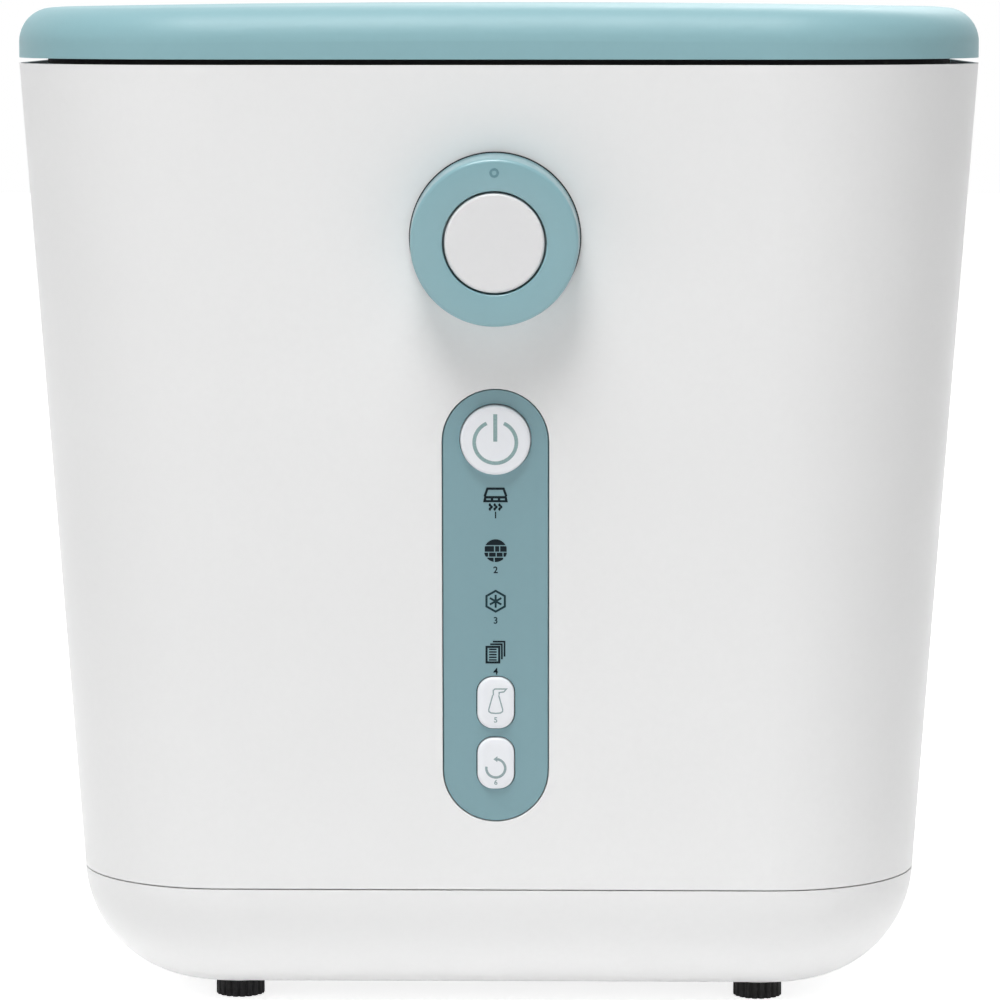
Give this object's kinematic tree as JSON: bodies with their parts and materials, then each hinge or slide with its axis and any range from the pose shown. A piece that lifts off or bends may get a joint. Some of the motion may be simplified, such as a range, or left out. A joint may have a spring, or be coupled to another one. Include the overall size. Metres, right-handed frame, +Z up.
{
  "type": "electric food waste composter",
  "caption": "Countertop electric food waste composter: bucket with a grinding rotor, gear drive, heater, locking knob, hinged lid, control panel and rear filter cassette.",
  "frame": {"origin": "on the floor, under the middle of the body's footprint", "axes": "+Z up; the control panel faces -Y; +X to the right seen from the front"},
  "size_m": [0.31, 0.3057, 0.3277],
  "materials": {
    "white_shell": "satin moulded",
    "white_gloss": "gloss moulded",
    "teal_plastic": "satin moulded",
    "deck_plastic": "satin moulded",
    "black_plastic": "satin moulded",
    "gear_plastic": "natural moulded",
    "seal_rubber": "matte",
    "cast_aluminium": "cast and coated",
    "steel": "machined",
    "board_green": "coated board",
    "led_lens": "clear",
    "carbon": "granular"
  },
  "bodies": {
    "housing": {"outer_shell": "white_shell", "base_shell": "white_shell", "top_deck": "deck_plastic", "deck_seal": "seal_rubber", "deck_screws": "steel", "case_screws": "steel", "heater_cup": "cast_aluminium", "heater_plate": "cast_aluminium", "thermal_sensor": "steel", "cup_standoffs": "steel", "bucket": "cast_aluminium", "bucket_handle": "steel", "bucket_bush": "gear_plastic", "gear_plate_lower": "steel", "gear_plate_upper": "steel", "plate_spacers": "steel", "gear_motor": "steel", "shaft_bearings": "steel", "idler_axle": "steel", "front_panel": "teal_plastic", "display_board": "board_green", "tact_switches": "black_plastic", "indicator_leds": "led_lens", "control_board": "board_green", "power_board": "board_green", "exhaust_duct": "black_plastic", "filter_bay": "black_plastic", "fan_duct": "black_plastic", "fan_frame": "black_plastic", "rear_grille": "black_plastic", "power_inlet": "black_plastic", "feet": "seal_rubber", "lid_switch": "black_plastic", "hinge_pins": "steel", "knob_bush": "black_plastic", "latch_guide": "black_plastic"},
    "lid": {"lid_cover": "teal_plastic", "lid_liner": "deck_plastic", "lid_gasket": "seal_rubber", "lid_striker": "black_plastic", "lid_screws": "steel"},
    "knob": {"knob_ring": "teal_plastic", "knob_cap": "white_gloss", "knob_shaft": "steel", "knob_clip": "steel"},
    "latch": {"latch_slider": "black_plastic"},
    "power_key": {"power_button": "white_gloss"},
    "clean_key": {"clean_button": "white_gloss"},
    "reset_key": {"reset_button": "white_gloss"},
    "rotor": {"grinding_rotor": "cast_aluminium", "rotor_cap": "black_plastic"},
    "drive": {"drive_shaft": "steel", "output_gear": "gear_plastic"},
    "idler": {"idler_gear": "gear_plastic"},
    "pinion": {"motor_pinion": "steel"},
    "fan": {"fan_impeller": "black_plastic"},
    "cassette": {"filter_cassette": "black_plastic", "carbon_block": "carbon"}
  },
  "joints": [
    {"name": "lid_hinge", "type": "hinge", "parent": "housing", "child": "lid", "pos_m": [0, 0.14735, 0.309], "axis": [-1, 0, 0], "range_deg": [0, 100]},
    {"name": "knob_turn", "type": "hinge", "parent": "housing", "child": "knob", "pos_m": [0, -0.13627, 0.2549], "axis": [0, 0.9976, 0.0698], "range_deg": [0, 90]},
    {"name": "latch_slide", "type": "slide", "parent": "housing", "child": "latch", "axis": [1, 0, 0], "range_m": [0, 0.0095]},
    {"name": "power_press", "type": "slide", "parent": "housing", "child": "power_key", "axis": [0, 0.9976, 0.0698], "range_m": [0, 0.0012], "stiffness_N_per_m": 400},
    {"name": "clean_press", "type": "slide", "parent": "housing", "child": "clean_key", "axis": [0, 0.9976, 0.0698], "range_m": [0, 0.0012], "stiffness_N_per_m": 400},
    {"name": "reset_press", "type": "slide", "parent": "housing", "child": "reset_key", "axis": [0, 0.9976, 0.0698], "range_m": [0, 0.0012], "stiffness_N_per_m": 400},
    {"name": "rotor_spin", "type": "hinge", "parent": "housing", "child": "rotor", "pos_m": [0, -0.012, 0.15], "axis": [0, 0, 1], "continuous": true},
    {"name": "drive_spin", "type": "hinge", "parent": "housing", "child": "drive", "pos_m": [0, -0.012, 0.09], "axis": [0, 0, 1], "continuous": true},
    {"name": "idler_spin", "type": "hinge", "parent": "housing", "child": "idler", "pos_m": [-0.052, -0.012, 0.08], "axis": [0, 0, 1], "continuous": true},
    {"name": "pinion_spin", "type": "hinge", "parent": "housing", "child": "pinion", "pos_m": [-0.052, 0.024, 0.08], "axis": [0, 0, 1], "continuous": true},
    {"name": "fan_spin", "type": "hinge", "parent": "housing", "child": "fan", "pos_m": [0, 0.12671, 0.1182], "axis": [0, 0.9976, -0.0698], "continuous": true},
    {"name": "filter_slide", "type": "slide", "parent": "housing", "child": "cassette", "axis": [0, 0.9976, -0.0698], "range_m": [0, 0.06]}
  ],
  "couplings": [
    {"joint": "latch_slide", "follows": "knob_turn", "m_per_rad": 0.006},
    {"joint": "drive_spin", "follows": "rotor_spin", "ratio": 1},
    {"joint": "idler_spin", "follows": "rotor_spin", "ratio": -3.3333},
    {"joint": "pinion_spin", "follows": "rotor_spin", "ratio": 10}
  ]
}
